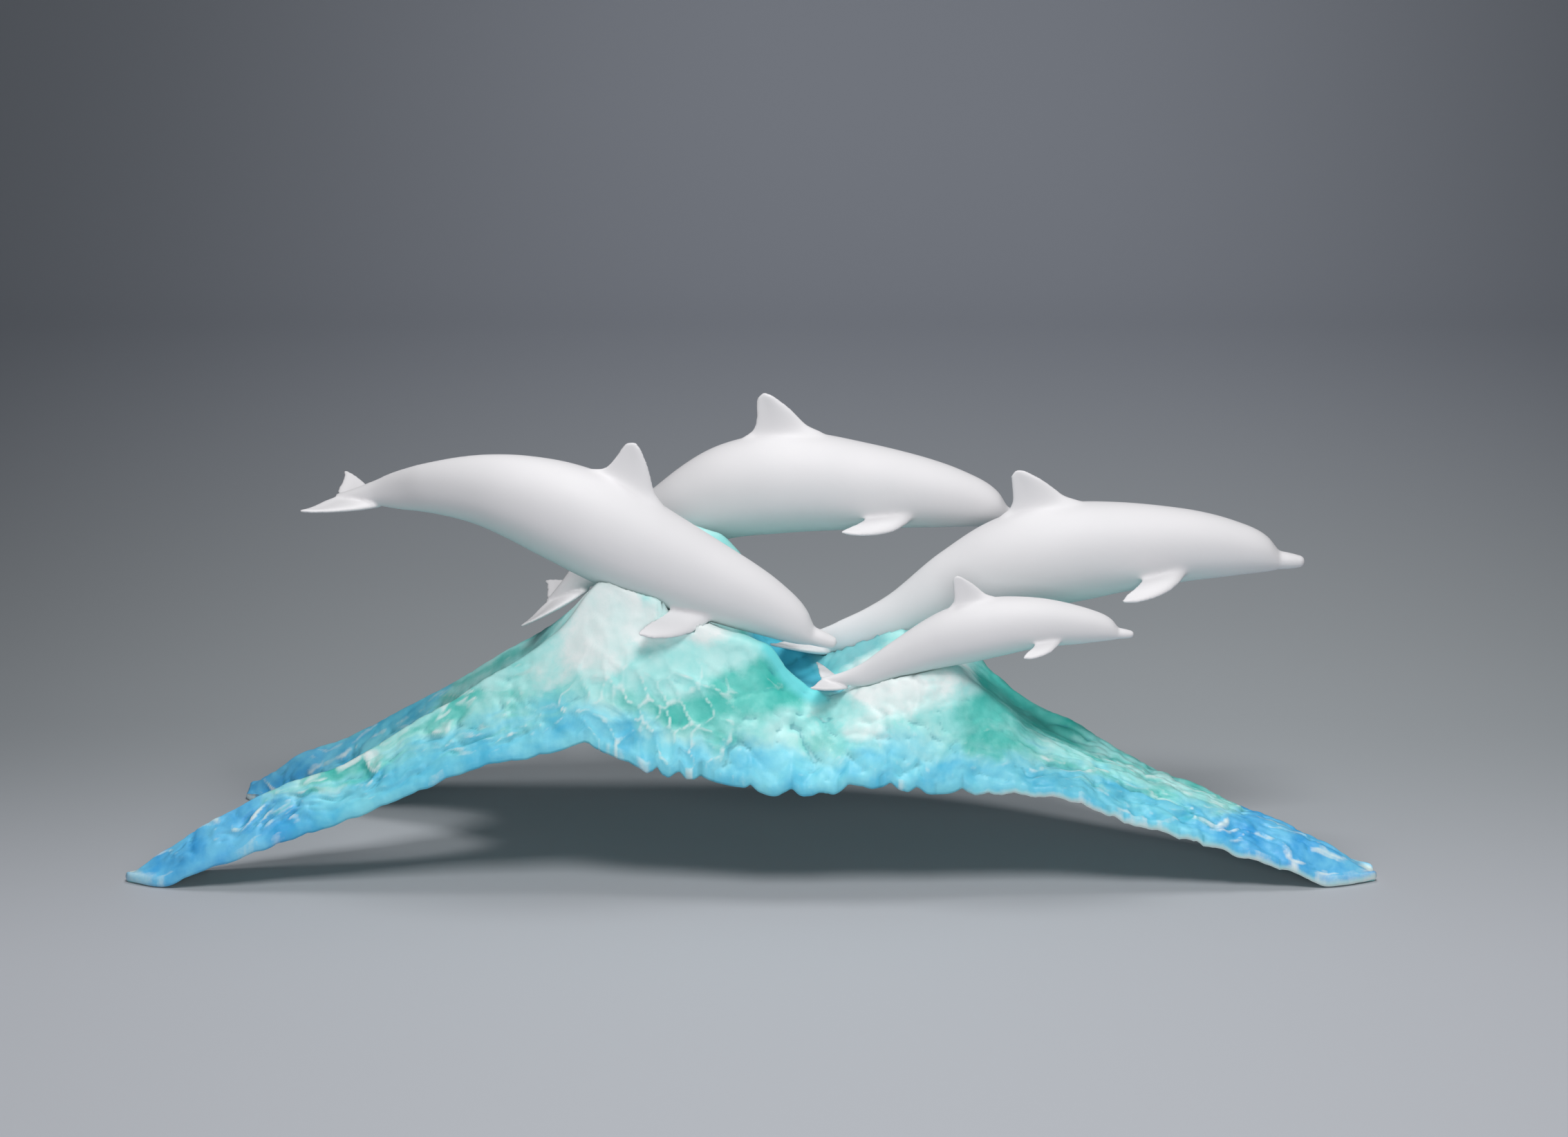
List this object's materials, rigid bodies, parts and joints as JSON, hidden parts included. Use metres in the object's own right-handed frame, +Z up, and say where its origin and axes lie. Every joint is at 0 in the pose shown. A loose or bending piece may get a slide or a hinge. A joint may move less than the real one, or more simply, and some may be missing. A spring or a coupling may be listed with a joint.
{
  "type": "dolphin figurine",
  "caption": "Tabletop figurine of matte white dolphins leaping along the crests of a turquoise wave that stands as an arched shell on spread feet.",
  "frame": {"origin": "middle of the bounding box, at the level of the feet", "axes": "+Z up, +X along the length towards the single right foot, -Y towards the viewer"},
  "size_m": [0.6, 0.168, 0.2187],
  "materials": {
    "wave_paint": "cast resin with sprayed aqua, sky blue and white paint, satin",
    "dolphin_white": "cast resin with matte white paint and a faint aqua tint on the belly"
  },
  "bodies": {
    "root": {"wave_base": "wave_paint", "dolphin_left": "dolphin_white", "dolphin_rear": "dolphin_white", "dolphin_right": "dolphin_white", "dolphin_calf": "dolphin_white"}
  },
  "joints": []
}
